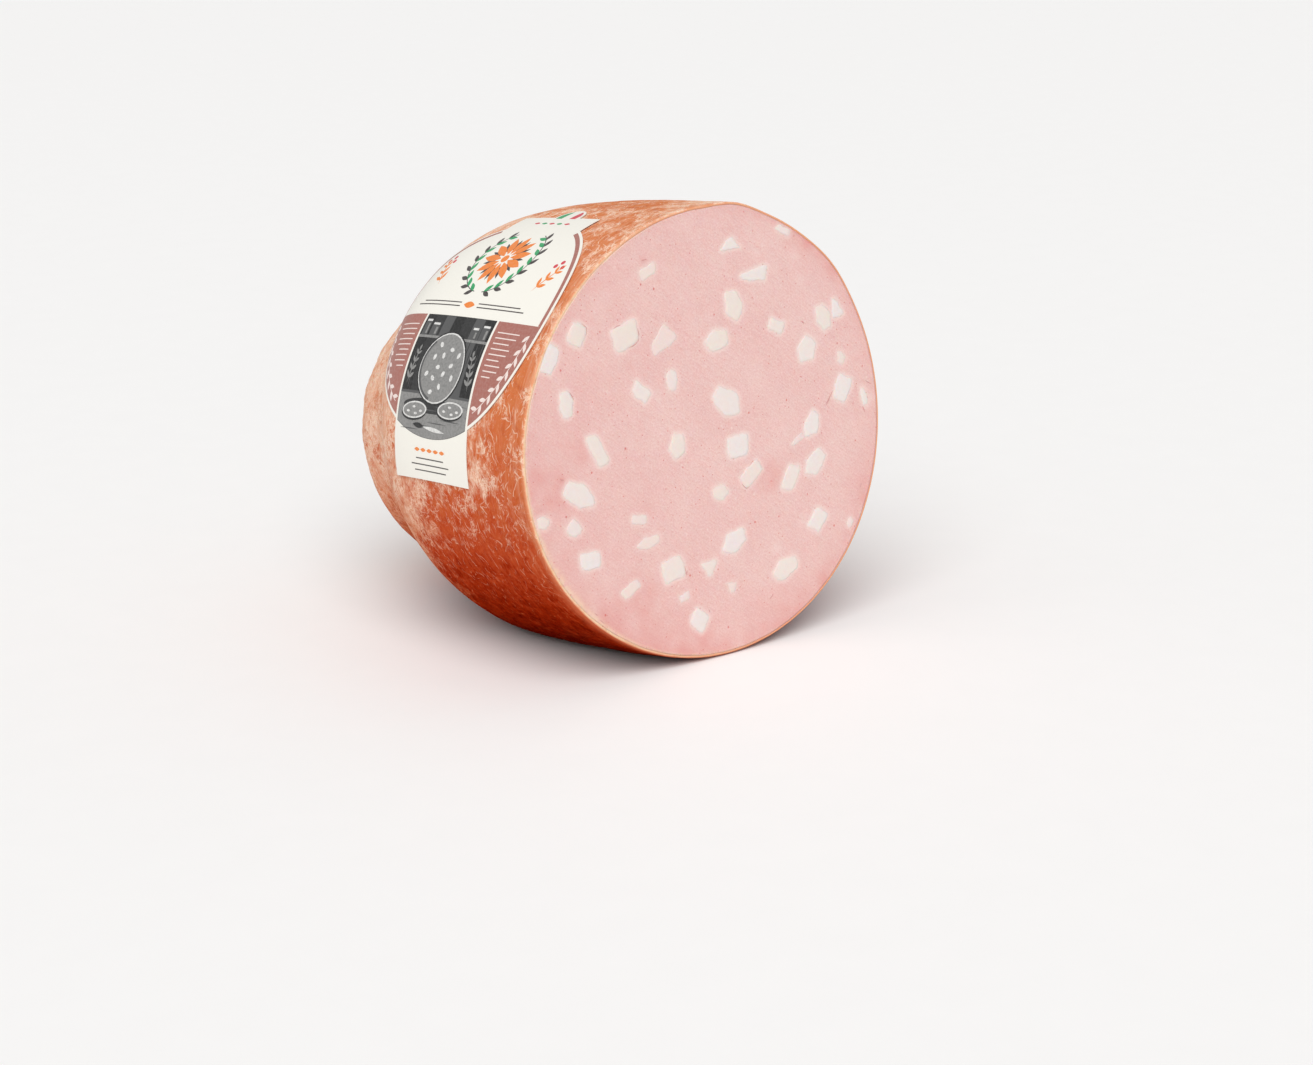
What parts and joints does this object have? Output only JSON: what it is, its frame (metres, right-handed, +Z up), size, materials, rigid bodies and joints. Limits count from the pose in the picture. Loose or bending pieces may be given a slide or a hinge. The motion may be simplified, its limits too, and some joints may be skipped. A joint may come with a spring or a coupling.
{
  "type": "half mortadella",
  "caption": "Half of a large round cooked sausage, cut across, lying on its belly: pink paste with cubes of white fat, an orange-brown casing and a wrapped paper label.",
  "frame": {"origin": "middle of the base of the bounding box, on the surface that the sausage lies on", "axes": "+Z up, +Y from the cut face back to the gathered end, +X to the right of someone who looks at the cut face"},
  "size_m": [0.222, 0.2306, 0.2152],
  "materials": {
    "casing": "satin",
    "meat": "satin, moist",
    "fat": "satin, moist",
    "paper": "coated paper, soft gloss"
  },
  "bodies": {
    "root": {"mortadella": "casing", "label": "paper"}
  },
  "joints": []
}
